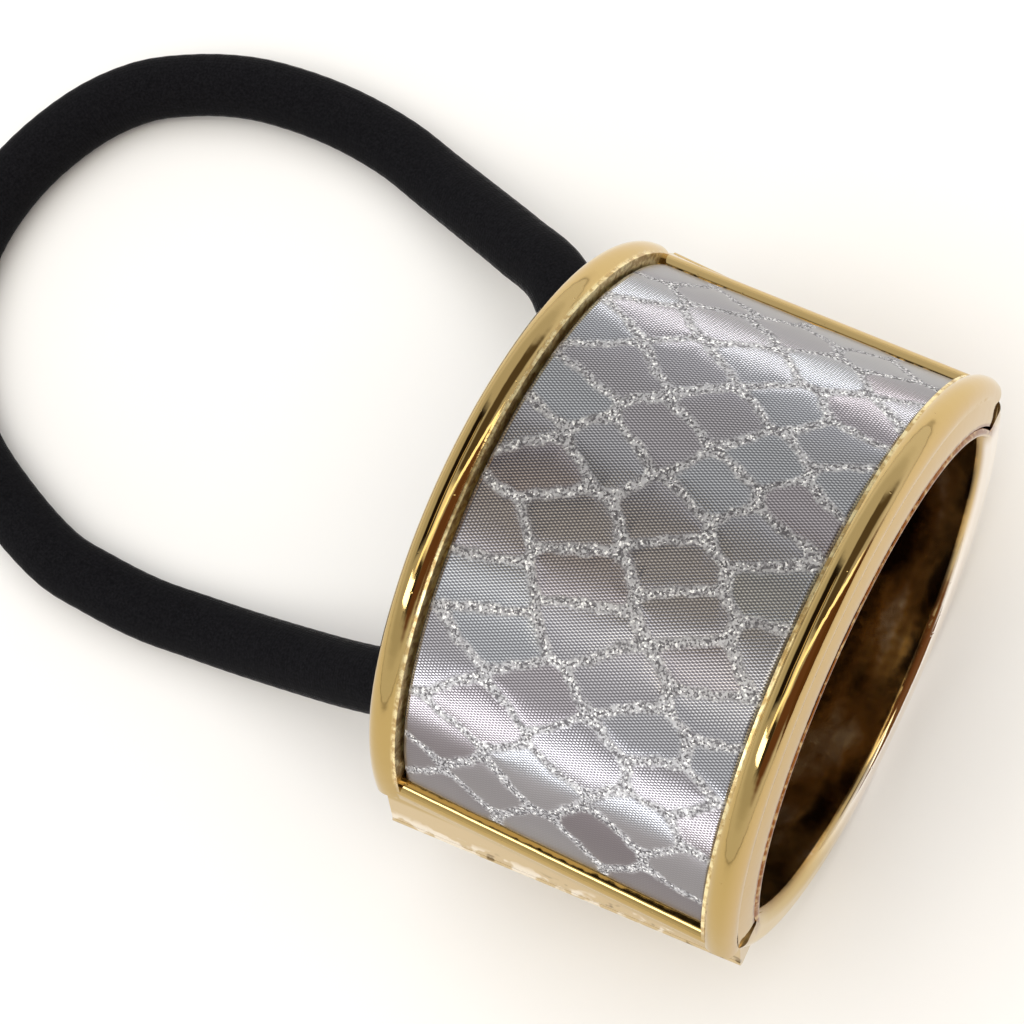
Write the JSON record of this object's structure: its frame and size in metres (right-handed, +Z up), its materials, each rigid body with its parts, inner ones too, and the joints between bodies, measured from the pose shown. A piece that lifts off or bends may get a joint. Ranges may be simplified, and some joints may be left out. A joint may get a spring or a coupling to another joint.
{
  "type": "ponytail cuff hair ring",
  "caption": "Oval gold-tone ring for a ponytail: a rimmed front arch holds a curved silver snakeskin-pattern panel, a plain band closes the back, and a round black elastic loop trails from it.",
  "frame": {"origin": "on the resting face, under the middle of the ring's box measured without the elastic", "axes": "+X along the opening, away from the elastic; +Y across the ring, its longest way; +Z up from the resting back toward the panel's crown"},
  "size_m": [0.0867, 0.0508, 0.0351],
  "materials": {
    "gold_plate": "polished gold plating",
    "silver_fabric": "metallic woven cloth with glitter lines",
    "black_elastic": "matte round knit"
  },
  "bodies": {
    "root": {"cuff": "gold_plate", "panel": "silver_fabric", "elastic": "black_elastic", "cord_clamp": "gold_plate"}
  },
  "joints": []
}
